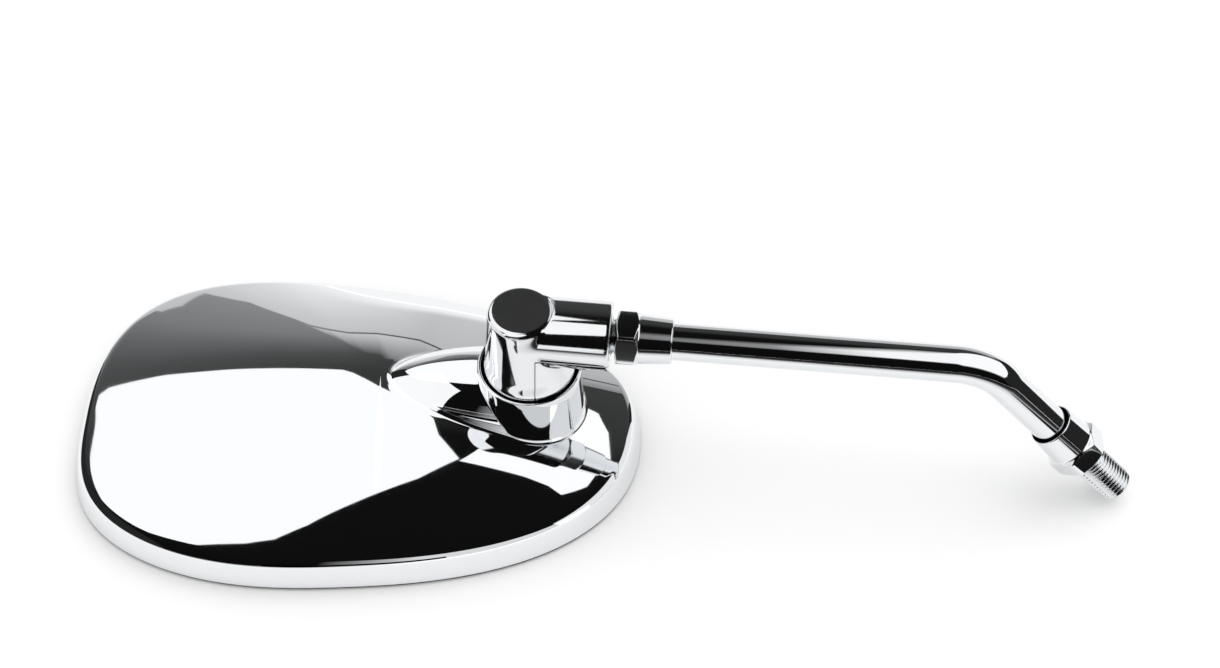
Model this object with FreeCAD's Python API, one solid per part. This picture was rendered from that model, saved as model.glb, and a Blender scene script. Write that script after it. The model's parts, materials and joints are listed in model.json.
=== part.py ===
import FreeCAD, Part
import math
import os

# Chromed motorcycle handlebar mirror, lying glass side down.
# Millimetres. X runs along the long side of the head, Z is up, the mirror edge rests on Z = 0.

# ---- head outline: a tapered superellipse, narrower at the stem end ----
head_length = 157.7
head_width = 100.0
head_taper = 0.165
head_bulge = -0.033
head_skew = -0.047
corner_power = 2.57
corner_power_end = -0.119
corner_power_side = 0.032
corner_power_twist = -0.466
head_x = -66.92
head_y = -1.35

# ---- housing shell ----
rim_lift = 1.0
side_height = 8.4
side_draft = 2.0
crown_height = 12.9
shoulder_radius = 4.0
wall = 2.2

# ---- glass, its rubber edge and what holds them ----
glass_inset = 3.6
glass_thickness = 2.0
glass_radius = 1400.0
glass_low = 0.6
edge_inset = 0.25
edge_hold = 1.2
edge_bite = 0.6
edge_over_glass = 0.97
pad_inset = 5.2
pad_fit = 0.05
pad_thinnest = 0.46
plate_thickness = 1.8
post_radius = 3.6
screw_radius = 1.5
screw_head_radius = 2.8
screw_hole_depth = 4.4
screw_end_gap = 0.4
screw_fit = 0.04
cross_length = 2.6
cross_width = 0.6
cross_depth = 0.9
post_spots = [(-0.66, 0.46), (-0.66, -0.46), (0.10, 0.66), (0.10, -0.66), (0.83, 0.03)]

# ---- ball joint between the head and the elbow ----
ball_x = 48.5
ball_y = 1.25
ball_z = 29.3
skirt_radius = 13.0
skirt_low = 1.0
skirt_gap = 0.3
seat_radius = 9.0
seat_thickness = 0.8
cup_floor = 2.0
cup_floor_top = 4.3
dish_thickness = 1.6
run_fit = 0.05
cup_lip = 3.2
cup_lip_wall = 0.8
cup_spread = 0.7
cup_outer_top = skirt_radius + skirt_gap + cup_lip_wall
cup_outer_base = cup_outer_top + cup_spread
cup_skin = 1.6
cup_hole_deg = 32.0
seat_from_deg = 34.0
seat_to_deg = 58.0
washer_to_deg = 44.0
washer_thickness = 1.2
washer_land = 0.6
washer_edge = 0.5
bolt_radius = 3.0
bolt_depth = 12.0
bolt_end_gap = 0.5
bolt_chamfer = 0.4
bolt_fit = 0.03
spring_wire = 1.5
spring_mean_radius = 4.8
spring_height = 5.6
spring_coils = 2.2
cap_thickness = 1.0
cap_radius = 6.2
pivot_nut_flats = 10.0
pivot_nut_height = 3.2
pivot_nut_chamfer = 0.5
bolt_tail = 0.6
nut_swing_deg = 14.0
nut_room = 1.0

# ---- fairing that runs from the cup along the back of the shell ----
fairing_length = 43.5
fairing_over_cup = 0.3
fairing_half_width = cup_outer_top + fairing_over_cup
fairing_height = 18.0
fairing_turn_deg = -7.4
fairing_below_lip = 0.3

# ---- elbow casting ----
elbow_offset = 2.0
elbow_top = 25.5
elbow_top_radius = 8.7
elbow_base_radius = 10.4
elbow_chamfer = 0.8
elbow_level_step = 1.2
barrel_height = 17.9
barrel_radius = 9.35
barrel_length = 24.3
barrel_chamfer = 0.5
bore_end_gap = 1.5
stem_turn_deg = -5.83

# ---- stem rod and its M10 x 1.25 threads ----
# A cut thread's crests lie a little under the nominal 10 mm.
thread_radius = 4.9
relief_step = 0.25
shank_step = 0.16
shank_radius = thread_radius + shank_step
relief_radius = thread_radius - relief_step
thread_pitch = 1.25
thread_depth = 0.72
thread_crest = 0.13
thread_root = 0.13
stem_start = 7.0
upper_thread_end = 33.5
bend_reach = 122.95
bend_deg = 46.63
bend_radius = 19.0
stem_roll_deg = -4.29
lower_reach = 60.19
lower_thread = 25.0
thread_fit = 0.05
end_chamfer = 0.9
thread_to_nut = 0.3

# ---- lock nuts ----
nut_height = 5.9
nut_gap = 1.3
nut_chamfer = 0.9
nut_face_inset = 0.25
sleeve_length = 9.0
sleeve_gap = 0.74
sleeve_bore = shank_radius + sleeve_gap
sleeve_root_wall = 0.95
sleeve_end_wall = 0.4
sleeve_root_radius = sleeve_bore + sleeve_root_wall
sleeve_end_radius = sleeve_bore + sleeve_end_wall
nut_shoulder = 0.35
nut_flats = 2 * (sleeve_root_radius + nut_shoulder)
upper_nut_turn_deg = -16.7
lower_nut_from_end = 16.6
lower_nut_turn_deg = 30.0

X = FreeCAD.Vector(1, 0, 0)
Y = FreeCAD.Vector(0, 1, 0)
Z = FreeCAD.Vector(0, 0, 1)
O = FreeCAD.Vector(0, 0, 0)


def vec(x, y, z):
    return FreeCAD.Vector(x, y, z)


def outline_at(t, inset):
    """Point of the head outline at angle t, moved in by inset."""
    c = math.cos(t)
    s = math.sin(t)
    power = corner_power + corner_power_end * c + corner_power_side * s + corner_power_twist * c * s
    u = math.copysign(abs(c) ** (2.0 / power), c)
    v = math.copysign(abs(s) ** (2.0 / power), s)
    half_length = head_length / 2 - inset
    half_width = head_width / 2 - inset
    y = half_width * (1 - head_taper * u + head_bulge * u * u) * v
    return half_length * u, y + head_skew * 2 * half_width * u * (1 - u * u)


def outline_points(inset, count=64):
    """Points spaced evenly along the outline."""
    fine = [outline_at(2 * math.pi * i / 720, inset) for i in range(721)]
    walk = [0.0]
    for a, b in zip(fine, fine[1:]):
        walk.append(walk[-1] + math.hypot(b[0] - a[0], b[1] - a[1]))
    picked = []
    j = 0
    for i in range(count):
        target = walk[-1] * i / count
        while walk[j + 1] < target:
            j += 1
        f = (target - walk[j]) / (walk[j + 1] - walk[j])
        a = fine[j]
        b = fine[j + 1]
        picked.append((a[0] + f * (b[0] - a[0]), a[1] + f * (b[1] - a[1])))
    return picked


def outline_wire(inset, z):
    curve = Part.BSplineCurve()
    curve.interpolate([vec(x, y, z) for x, y in outline_points(inset)], PeriodicFlag=True)
    return Part.Wire(curve.toShape())


def outline_prism(inset, z0, z1):
    face = Part.Face(outline_wire(inset, z0))
    return face.extrude(vec(0, 0, z1 - z0))


def drafted_prism(inset, z0, z1):
    """Prism of the outline leaning in by side_draft for every side_height of rise."""
    lean = side_draft / side_height
    low = outline_wire(inset + lean * (z0 - rim_lift), z0)
    high = outline_wire(inset + lean * (z1 - rim_lift), z1)
    return Part.makeLoft([low, high], True, True)


def glass_top(reach):
    """Height of the upper face of the glass at a distance from the centre of the head."""
    radius = glass_radius - glass_thickness
    return glass_low + glass_radius - math.sqrt(radius * radius - reach * reach)


def pad_top():
    """Underside of the backing plate, level and clear of the glass at its far ends."""
    return glass_top(head_length / 2 - pad_inset) + pad_thinnest


def plate_top():
    return pad_top() + plate_thickness


def edge_top():
    """Top of the rubber edge, which reaches over the glass."""
    return glass_top(head_length / 2 - glass_inset) + edge_over_glass


def ring_scale(x, y):
    """How far out a point lies: 0 at the centre of the head, 1 on the edge of the crown."""
    angle = math.atan2(y, x)
    half_length = head_length / 2 - side_draft
    half_width = head_width / 2 - side_draft
    low = 0.0
    high = 2.0
    reach = math.hypot(x, y)
    if reach < 1e-6:
        return 0.0
    edge = edge_reach(angle)
    oval = 1.0 / math.hypot(math.cos(angle) / half_length, math.sin(angle) / half_width)
    for _ in range(40):
        mid = (low + high) / 2
        blend = min(mid * mid, 1.0)
        if mid * ((1 - blend) * oval + blend * edge) < reach:
            low = mid
        else:
            high = mid
    return (low + high) / 2


def edge_reach(angle):
    """Distance from the centre of the head to the crown edge in one direction."""
    best = None
    x = math.cos(angle)
    y = math.sin(angle)
    low = angle - 0.6
    high = angle + 0.6
    for _ in range(40):
        best = (low + high) / 2
        px, py = outline_at(best, side_draft)
        if px * y - py * x < 0:
            high = best
        else:
            low = best
    px, py = outline_at(best, side_draft)
    return math.hypot(px, py)


def crown_block(drop):
    """Everything below the crowned back of the shell, lowered by drop."""
    nx = 37
    ny = 27
    wide = head_length * 0.56
    deep = head_width * 0.60
    rows = []
    for i in range(nx):
        x = wide * (2.0 * i / (nx - 1) - 1)
        row = []
        for j in range(ny):
            y = deep * (2.0 * j / (ny - 1) - 1)
            r = ring_scale(x, y)
            row.append(vec(x, y, rim_lift + side_height + crown_height * (1 - r * r) - drop))
        rows.append(row)
    surface = Part.BSplineSurface()
    surface.interpolate(rows)
    return surface.toShape().extrude(vec(0, 0, -80))


def place_head(shape):
    moved = shape.copy()
    moved.translate(vec(head_x, head_y, 0))
    return moved


def revolve(points):
    """Solid of revolution about Z from a closed outline of (radius, height) points."""
    wire = Part.makePolygon([vec(r, 0, z) for r, z in points + points[:1]])
    return Part.Face(wire).revolve(O, Z, 360)


def ball(radius):
    return Part.makeSphere(radius, O, Z, -90, 90, 360)


def cone_sector(half_deg, size):
    """Cone with its tip at the ball centre, opening downwards."""
    radius = size * math.tan(math.radians(half_deg))
    return Part.makeCone(0, radius, size, O, vec(0, 0, -1))


def place_ball(shape):
    moved = shape.copy()
    moved.rotate(O, Z, stem_turn_deg)
    moved.translate(vec(head_x + ball_x, head_y + ball_y, ball_z))
    return moved


def make_fairing():
    """Half of an egg shape that starts at the cup and tapers along the back of the shell."""
    sphere = Part.makeSphere(1.0)
    stretch = FreeCAD.Matrix()
    stretch.scale(fairing_length, fairing_half_width, fairing_height)
    egg = sphere.transformGeometry(stretch)
    keep = Part.makeBox(fairing_length + 2, 4 * fairing_half_width, 2 * fairing_height + 2)
    keep.translate(vec(-fairing_length - 2, -2 * fairing_half_width, -fairing_height - 1))
    half = egg.common(keep)
    half.rotate(O, Z, fairing_turn_deg)
    half.translate(vec(ball_x, ball_y, ball_z + cup_lip - fairing_below_lip - fairing_height))
    return half


def make_posts():
    posts = []
    for fx, fy in post_spots:
        spot = vec(fx * head_length / 2, fy * head_width / 2, plate_top())
        posts.append(Part.makeCylinder(post_radius, 40, spot))
    return posts


def screw_holes(radius):
    holes = []
    for fx, fy in post_spots:
        spot = vec(fx * head_length / 2, fy * head_width / 2, plate_top() - 1)
        holes.append(Part.makeCylinder(radius, 1 + screw_hole_depth, spot))
    return holes


def make_shell_body():
    """Crowned back, drafted side wall and the rounded shoulder between them."""
    body = drafted_prism(0, rim_lift, 45).common(crown_block(0))
    top_edges = []
    for edge in body.Edges:
        box = edge.BoundBox
        if box.ZMin > rim_lift + 0.5 * side_height and box.XLength > head_length * 0.3:
            top_edges.append(edge)
    return body.makeFillet(shoulder_radius, top_edges)


def make_housing_shell():
    outer = make_shell_body()
    inner = drafted_prism(wall, rim_lift - 5, 45).common(crown_block(wall))
    at = vec(ball_x, ball_y, 0)
    base = Part.makeCone(cup_outer_base, cup_outer_top, ball_z + cup_lip, at)
    well = Part.makeCylinder(cup_outer_top - cup_skin, ball_z - cup_floor_top - cup_floor, at)
    shell = outer.fuse([base, make_fairing()])
    for post in make_posts():
        inner = inner.cut(post)
    shell = shell.cut(inner)
    trim = crown_block(-60).common(outline_prism(-20, -30, rim_lift))
    shell = shell.cut(trim)
    # the cup: a round well above its floor, a dished seat and the hole for the bolt
    cup = Part.makeCylinder(skirt_radius + skirt_gap, 40, vec(0, 0, -cup_floor_top))
    cup = cup.fuse(ball(seat_radius + 2 * run_fit + seat_thickness))
    cup = cup.fuse(cone_sector(cup_hole_deg, 30))
    dish_out = seat_radius + 2 * run_fit + seat_thickness + dish_thickness
    dish = ball(dish_out)
    dish = dish.cut(Part.makeBox(60, 60, 60, vec(-30, -30, -cup_floor_top)))
    cup.translate(vec(ball_x, ball_y, ball_z))
    dish.translate(vec(ball_x, ball_y, ball_z))
    well = well.cut(dish)
    shell = shell.cut(well)
    shell = shell.cut(cup)
    for hole in screw_holes(screw_radius + screw_fit):
        shell = shell.cut(hole)
    return shell


def glass_body():
    """Disc between two large balls, cut to the outline."""
    low_centre = vec(0, 0, glass_low + glass_radius)
    outer = Part.makeSphere(glass_radius, low_centre)
    inner = Part.makeSphere(glass_radius - glass_thickness, low_centre)
    prism = outline_prism(glass_inset, -2, 20)
    return prism.common(outer).cut(inner)


def above_glass():
    low_centre = vec(0, 0, glass_low + glass_radius)
    return Part.makeSphere(glass_radius - glass_thickness - pad_fit, low_centre)


def make_rim_gasket(shell, glass):
    lip = outline_prism(edge_inset, 0, rim_lift)
    stand = outline_prism(wall - edge_bite, rim_lift, edge_top())
    ring = lip.fuse(stand).cut(outline_prism(glass_inset + edge_hold, -2, 20))
    return ring.cut(shell).cut(glass).removeSplitter()


def make_foam_pad():
    pad = outline_prism(pad_inset, 0, pad_top())
    return pad.common(above_glass())


def make_backing_plate():
    """Flat plate screwed to the posts, open where the ball joint hangs down."""
    plate = outline_prism(pad_inset, pad_top(), plate_top())
    nut_corner = pivot_nut_flats / math.sqrt(3)
    swing = (ball_z - pad_top()) * math.sin(math.radians(nut_swing_deg))
    opening = Part.makeCylinder(nut_corner + swing + nut_room, 20, vec(ball_x, ball_y, 0))
    plate = plate.cut(opening)
    for fx, fy in post_spots:
        spot = vec(fx * head_length / 2, fy * head_width / 2, pad_top())
        plate = plate.cut(Part.makeCylinder(screw_radius + screw_fit, 5, spot))
        plate = plate.cut(screw_head(spot, screw_fit))
    return plate


def screw_head(spot, grow):
    height = screw_head_radius - screw_radius
    return Part.makeCone(screw_head_radius + grow, screw_radius + grow, height, spot)


def make_plate_screw(index):
    """Countersunk screw with a cross recess."""
    fx, fy = post_spots[index]
    spot = vec(fx * head_length / 2, fy * head_width / 2, pad_top())
    length = plate_thickness + screw_hole_depth - screw_end_gap
    shank = Part.makeCylinder(screw_radius, length, spot)
    screw = shank.fuse(screw_head(spot, 0)).removeSplitter()
    for length, width in ((cross_length, cross_width), (cross_width, cross_length)):
        slot = Part.makeBox(length, width, cross_depth)
        slot.translate(spot + vec(-length / 2, -width / 2, 0))
        screw = screw.cut(slot)
    return screw


def make_seat_ring():
    """Nylon ring: part of a hollow ball between two cones."""
    inner = seat_radius + run_fit
    ring = ball(inner + seat_thickness).cut(ball(inner))
    ring = ring.common(cone_sector(seat_to_deg, 20))
    return ring.cut(cone_sector(seat_from_deg, 20))


def washer_inner():
    return seat_radius + 3 * run_fit + seat_thickness + dish_thickness


def washer_bottom():
    return washer_inner() + washer_thickness


def make_pivot_washer():
    """Dished steel washer under the cup, flat below for the spring."""
    inner = washer_inner()
    angle = math.radians(washer_to_deg)
    edge_r = inner * math.sin(angle)
    edge_z = -inner * math.cos(angle)
    flat_r = spring_mean_radius + spring_wire / 2 + washer_land
    low = -washer_bottom()
    body = revolve([(0, low), (flat_r, low), (edge_r, edge_z - washer_edge), (edge_r, edge_z), (0, edge_z)])
    body = body.cut(ball(inner))
    return body.cut(Part.makeCylinder(bolt_radius + run_fit, 40, vec(0, 0, -30)))


def wire_section(x, radius):
    """Circle of two half arcs, standing in the XZ plane at x."""
    outer = vec(x + radius, 0, 0)
    inner = vec(x - radius, 0, 0)
    upper = Part.Arc(outer, vec(x, 0, radius), inner)
    lower = Part.Arc(inner, vec(x, 0, -radius), outer)
    return Part.Wire([upper.toShape(), lower.toShape()])


def make_pivot_spring():
    """Compression coil of round wire between the washer and the cap."""
    rise = spring_height - spring_wire
    helix = Part.Wire(Part.makeHelix(rise / spring_coils, rise, spring_mean_radius))
    section = wire_section(spring_mean_radius, spring_wire / 2)
    coil = helix.makePipeShell([section], True, True)
    coil.translate(vec(0, 0, -washer_bottom() - spring_height + spring_wire / 2))
    return coil


def make_spring_cap():
    low = -washer_bottom() - spring_height - cap_thickness
    cap = Part.makeCylinder(cap_radius, cap_thickness, vec(0, 0, low))
    return cap.cut(Part.makeCylinder(bolt_radius + bolt_fit, 40, vec(0, 0, -40)))


def hexagon(flats, height, z):
    r = flats / math.sqrt(3)
    turns = [math.radians(a) for a in range(0, 361, 60)]
    corners = [vec(r * math.cos(a), r * math.sin(a), z) for a in turns]
    return Part.Face(Part.makePolygon(corners)).extrude(vec(0, 0, height))


def chamfered_hexagon(flats, height, z, chamfer):
    """Hexagon with turned corners at both faces."""
    prism = hexagon(flats, height, z)
    r = flats / math.sqrt(3)
    slope = (r - flats / 2) + nut_face_inset
    points = [(0, z), (r - slope, z), (r + 0.01, z + chamfer)]
    points += [(r + 0.01, z + height - chamfer), (r - slope, z + height), (0, z + height)]
    return prism.common(revolve(points))


def pivot_nut_low():
    return -washer_bottom() - spring_height - cap_thickness - pivot_nut_height


def make_pivot_nut():
    nut = chamfered_hexagon(pivot_nut_flats, pivot_nut_height, pivot_nut_low(), pivot_nut_chamfer)
    return nut.cut(Part.makeCylinder(bolt_radius + bolt_fit, 40, vec(0, 0, -40)))


def make_pivot_bolt():
    low = pivot_nut_low() - bolt_tail
    bolt = Part.makeCylinder(bolt_radius, bolt_depth - low - bolt_end_gap, vec(0, 0, low))
    return bolt.makeChamfer(bolt_chamfer, [e for e in bolt.Edges if len(e.Vertexes) == 1])


def make_elbow_body():
    """Casting: spherical skirt, flared column and the threaded side barrel."""
    skirt = ball(skirt_radius)
    skirt = skirt.cut(Part.makeBox(60, 60, 60, vec(-30, -30, -60 - skirt_low)))
    skirt = skirt.fuse(ball(seat_radius))
    foot = skirt_low + 1
    base = vec(-elbow_offset, 0, foot)
    column = Part.makeCone(elbow_base_radius, elbow_top_radius, elbow_top - foot, base)
    rims = [e for e in column.Edges if e.BoundBox.ZMin > elbow_top - 0.01]
    column = column.makeChamfer(elbow_chamfer, rims)
    barrel = Part.makeCylinder(barrel_radius, barrel_length, vec(-elbow_offset, 0, barrel_height), X)
    ends = [e for e in barrel.Edges if e.BoundBox.XMin > barrel_length - elbow_offset - 0.01]
    barrel = barrel.makeChamfer(barrel_chamfer, ends)
    level = Part.makeBox(elbow_top_radius + elbow_level_step, 60, 20, vec(-elbow_offset, -30, elbow_top))
    back = Part.makeBox(40, 60, 20, vec(-elbow_offset - 40, -30, elbow_top))
    body = skirt.fuse([column, barrel]).cut(level).cut(back)
    bore_start = vec(stem_start - bore_end_gap - elbow_offset, 0, barrel_height)
    body = body.cut(Part.makeCylinder(thread_radius + thread_fit, 60, bore_start, X))
    body = body.cut(Part.makeCylinder(bolt_radius + bolt_fit, bolt_depth + 30, vec(0, 0, -30)))
    return body.removeSplitter()


def to_stem(shape):
    """From the rod's own axis (Z out of the elbow) to the elbow's frame, then to the part."""
    moved = shape.copy()
    moved.rotate(O, Y, 90)
    moved.rotate(O, X, stem_roll_deg)
    moved.translate(vec(-elbow_offset, 0, barrel_height))
    return place_ball(moved)


def threaded_bar(length, crest_to, relief_to):
    """Bar along Z: chamfered start, grooves up to crest_to, thinner up to relief_to, then the shank."""
    r = thread_radius
    points = [(0, 0), (r - end_chamfer, 0), (r, end_chamfer)]
    flank = (1 - thread_crest - thread_root) / 2
    z = end_chamfer + thread_crest * thread_pitch
    while z + thread_pitch < crest_to:
        points.append((r, z))
        points.append((r - thread_depth, z + flank * thread_pitch))
        points.append((r - thread_depth, z + (flank + thread_root) * thread_pitch))
        points.append((r, z + (1 - thread_crest) * thread_pitch))
        z += thread_pitch
    points += [(r, crest_to), (relief_radius, crest_to), (relief_radius, relief_to)]
    points.append((shank_radius, relief_to + relief_step))
    points += [(shank_radius, length), (0, length)]
    return revolve(points)


def bend_tangent():
    return bend_radius * math.tan(math.radians(bend_deg) / 2)


def make_stem_rod():
    """Round bar bent once, with a thread on each end. Built along Z, bent towards +X."""
    turn = math.radians(bend_deg)
    t = bend_tangent()
    crest_to = barrel_length + nut_gap - thread_to_nut - stem_start
    first = threaded_bar(bend_reach - t - stem_start, crest_to, upper_thread_end - stem_start)
    first.translate(vec(0, 0, stem_start))
    disc = Part.Face(Part.Wire(Part.makeCircle(shank_radius, vec(0, 0, bend_reach - t), Z)))
    bent = disc.revolve(vec(bend_radius, 0, bend_reach - t), Y, bend_deg)
    direction = vec(math.sin(turn), 0, math.cos(turn))
    last = threaded_bar(lower_reach - t, lower_nut_from_end - thread_to_nut, lower_thread)
    last.rotate(O, Y, 180 + bend_deg)
    last.translate(vec(0, 0, bend_reach) + direction * lower_reach)
    return first.fuse([bent, last]).removeSplitter()


def make_lock_nut():
    """Hexagon with a tapering sleeve that hides the end of the thread. Sleeve towards +Z."""
    nut = chamfered_hexagon(nut_flats, nut_height, 0, nut_chamfer)
    foot = vec(0, 0, nut_height - 0.01)
    sleeve = Part.makeCone(sleeve_root_radius, sleeve_end_radius, sleeve_length, foot)
    nut = nut.fuse(sleeve)
    bore = relief_radius + thread_fit
    nut = nut.cut(Part.makeCylinder(bore, 40, vec(0, 0, -5)))
    mouth = Part.makeCone(sleeve_bore, bore, sleeve_bore - bore, vec(0, 0, 0))
    nut = nut.cut(mouth)
    return nut.cut(Part.makeCylinder(sleeve_bore, 40, vec(0, 0, nut_height)))


def make_upper_lock_nut():
    nut = make_lock_nut()
    nut.rotate(O, Z, upper_nut_turn_deg)
    nut.translate(vec(0, 0, barrel_length + nut_gap))
    return nut


def make_lower_lock_nut():
    nut = make_lock_nut()
    turn = math.radians(bend_deg)
    direction = vec(math.sin(turn), 0, math.cos(turn))
    tip = vec(0, 0, bend_reach) + direction * lower_reach
    nut.rotate(O, Z, lower_nut_turn_deg)
    nut.rotate(O, Y, 180 + bend_deg)
    nut.translate(tip - direction * lower_nut_from_end)
    return nut


def save(name, shape):
    shape.exportStep("parts/" + name + ".step")


def main():
    os.makedirs("parts", exist_ok=True)
    shell = make_housing_shell()
    glass = glass_body()
    save("housing_shell", place_head(shell))
    save("mirror_glass", place_head(glass))
    save("rim_gasket", place_head(make_rim_gasket(shell, glass)))
    save("foam_pad", place_head(make_foam_pad()))
    save("backing_plate", place_head(make_backing_plate()))
    for i in range(len(post_spots)):
        save("plate_screw_%d" % (i + 1), place_head(make_plate_screw(i)))
    save("seat_ring", place_ball(make_seat_ring()))
    save("pivot_washer", place_ball(make_pivot_washer()))
    save("pivot_spring", place_ball(make_pivot_spring()))
    save("spring_cap", place_ball(make_spring_cap()))
    save("pivot_nut", place_ball(make_pivot_nut()))
    save("pivot_bolt", place_ball(make_pivot_bolt()))
    save("elbow_body", place_ball(make_elbow_body()))
    save("stem_rod", to_stem(make_stem_rod()))
    save("upper_lock_nut", to_stem(make_upper_lock_nut()))
    save("lower_lock_nut", to_stem(make_lower_lock_nut()))


main()
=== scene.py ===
import json
import math

import bmesh
import bpy
import numpy as np
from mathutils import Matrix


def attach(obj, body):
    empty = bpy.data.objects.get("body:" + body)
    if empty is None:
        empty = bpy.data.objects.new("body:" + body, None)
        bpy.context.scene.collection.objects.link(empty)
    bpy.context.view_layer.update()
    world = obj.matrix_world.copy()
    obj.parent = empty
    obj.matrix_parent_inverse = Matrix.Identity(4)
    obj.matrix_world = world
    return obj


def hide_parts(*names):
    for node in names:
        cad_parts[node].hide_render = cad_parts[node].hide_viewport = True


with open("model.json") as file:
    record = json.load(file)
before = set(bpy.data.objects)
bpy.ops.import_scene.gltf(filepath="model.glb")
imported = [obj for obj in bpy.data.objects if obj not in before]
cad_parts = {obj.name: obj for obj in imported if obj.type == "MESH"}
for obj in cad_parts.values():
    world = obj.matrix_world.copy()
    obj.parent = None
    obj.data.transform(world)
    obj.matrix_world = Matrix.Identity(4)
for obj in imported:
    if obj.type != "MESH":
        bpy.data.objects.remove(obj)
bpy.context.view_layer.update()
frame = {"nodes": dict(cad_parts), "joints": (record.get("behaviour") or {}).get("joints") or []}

# Chromed handlebar mirror. Lengths are in millimetres until a mesh is made, where MM turns them to metres.
MM = 0.001

# ---- places that come from the frame ----
JOINTS = {joint["name"]: joint for joint in frame["joints"]}
BALL = np.array(JOINTS["head_swivel"]["pos_m"]) / MM
STEM_START = np.array(JOINTS["elbow_turn"]["pos_m"]) / MM
STEM_AXIS = np.array(JOINTS["elbow_turn"]["axis"])
END_AXIS = np.array(JOINTS["lower_nut_spin"]["axis"])
UP = np.array([0.0, 0.0, 1.0])
ACROSS = np.cross(UP, STEM_AXIS)
BEND_SIDE = END_AXIS - STEM_AXIS * (STEM_AXIS @ END_AXIS)
BEND_SIDE /= np.linalg.norm(BEND_SIDE)
BEND_ACROSS = np.cross(STEM_AXIS, BEND_SIDE)

# ---- head ----
HEAD_LENGTH = 157.7
HEAD_WIDTH = 100.0
TAPER = 0.165
BULGE = -0.033
SKEW = -0.047
CORNER = (2.57, -0.119, 0.032, -0.466)
BALL_IN_HEAD = np.array([48.5, 1.25])
HEAD = BALL[:2] - BALL_IN_HEAD
RIM_Z = 1.0
SIDE_HEIGHT = 8.4
SIDE_DRAFT = 2.0
SIDE_LEAN = SIDE_DRAFT / SIDE_HEIGHT
CROWN = 12.9
SHOULDER = 4.0
WALL = 2.2
RIM_ROUND = 0.5
INNER_WALL_TOP = 6.0
SHELL_COLUMNS = 448
CROWN_ROWS = 64

# ---- cup and fairing on the back of the head ----
LIP_Z = BALL[2] + 3.2
LIP_ROUND = 0.3
CUP_TOP = 14.1
CUP_BASE = 14.8
CUP_BORE = 13.3
CUP_FLOOR_Z = BALL[2] - 4.3
CUP_FLOOR = 2.0
CUP_FLOOR_ROUND = 0.4
DISH = 9.9
DISH_WALL = 1.6
DISH_HOLE_DEG = 32.0
WELL = 12.5
FAIRING_LONG = 43.5
FAIRING_HALF = 14.4
FAIRING_HIGH = 18.0
FAIRING_Z = LIP_Z - 0.3 - FAIRING_HIGH
FAIRING_TURN = math.radians(-7.4)
CREASE = 0.5
FLARE = 1.0

# ---- glass and its edge ----
GLASS_INSET = 3.6
GLASS_LOW = 0.6
GLASS_THICK = 2.0
GLASS_RADIUS = 1400.0
EDGE_INSET = 0.25
EDGE_HOLD = 1.2
EDGE_TOP = 5.6
EDGE_OUTER_ROUND = 0.95
EDGE_INNER_ROUND = 0.5
EDGE_PRESS = 0.03
GLASS_COLUMNS = 256
EDGE_COLUMNS = 384

# ---- elbow ----
SKIRT = 13.0
SKIRT_LOW = 1.0
SEAT = 9.0
COLUMN_BACK = 2.0
COLUMN_TOP = 25.5
COLUMN_TOP_RADIUS = 8.7
COLUMN_FOOT = 4.8
COLUMN_FOOT_RADIUS = 12.1
TOP_BEVEL = 0.8
BARREL_GAP = 0.15
BARREL_Z = 17.9
BARREL = 9.35
BARREL_END = 22.3
BARREL_BEVEL = 0.5
ELBOW_BORE = 4.95
BORE_PAST_ROD = 1.5
ELBOW_GRID = 0.33
ELBOW_LOW = np.array([-14.0, -14.0, -10.0])
ELBOW_HIGH = np.array([23.5, 14.0, 28.0])
EDGE_ROUND = 0.3
SKIRT_ROUND = 0.5
SEAT_FILLET = 0.8
BARREL_FILLET = 0.9
SKIRT_FILLET = 1.2
GROOVE_ROUND = 0.4
SEAM_X = 2.9
SEAM_DROP = 1.8
SEAM_HALF = 0.3
SEAM_LIFT = 0.12
# Grey that the metal turns to on the casting's parting line: painted shade along the line.
SEAM_PAINTED_SHADE = "6e7176"

# ---- rod, threads and nuts ----
SHANK = 5.06
THREAD = 4.9
PITCH = 1.25
THREAD_DEPTH = 0.72
CREST_SHARE = 0.13
RELIEF = 4.65
TIP_CHAMFER = 0.9
ROD_FROM = 7.0
BEND_REACH = 122.95
BEND_RADIUS = 19.0
END_REACH = 60.19
END_THREAD = 25.0
UPPER_THREAD = 33.5
NUT_FROM_TIP = 16.6
NUT_FROM_ELBOW = 25.6
NUT_CLEAR = 0.3
NUT_FLATS = 14.2
NUT_HEIGHT = 5.9
NUT_CHAMFER = 0.9
NUT_FACE = 6.85
NUT_EASE = 0.12
CORNER_SHARPNESS = 6.0
UPPER_NUT_TURN = math.radians(51)
SLEEVE = 9.0
SLEEVE_ROOT = 6.75
SLEEVE_END = 6.2
SLEEVE_BORE = 5.8
NUT_BORE = 4.7
NUT_MOUTH = 0.8
SLEEVE_LIP = 0.35
NUT_COLUMNS = 216
ROD_COLUMNS = 112
ROD_STEP = 2.0
ARC_STEPS = 40
STEPS_PER_PITCH = 14

# ---- finish ----
# Wipe marks are drawn wider than real ones, so that they show.
WIPE_MM = 9.0
SILVER = "e3e8e6"
SHEET_WAVE_MM = 60.0
SHEET_WAVE_LIFT = 0.004


# ======== meshes ========

def piece(name, points, faces, body, replaced, material):
    """Puts points in millimetres and faces into a smooth mesh object that rides on a CAD body."""
    mesh = bpy.data.meshes.new(name)
    mesh.from_pydata((points * MM).tolist(), [], faces.tolist())
    mesh.validate()
    mesh.polygons.foreach_set("use_smooth", np.ones(len(mesh.polygons), dtype=bool))
    mesh.materials.append(material)
    obj = bpy.data.objects.new(name, mesh)
    bpy.context.scene.collection.objects.link(obj)
    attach(obj, body)
    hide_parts(*replaced)
    return obj


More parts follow.
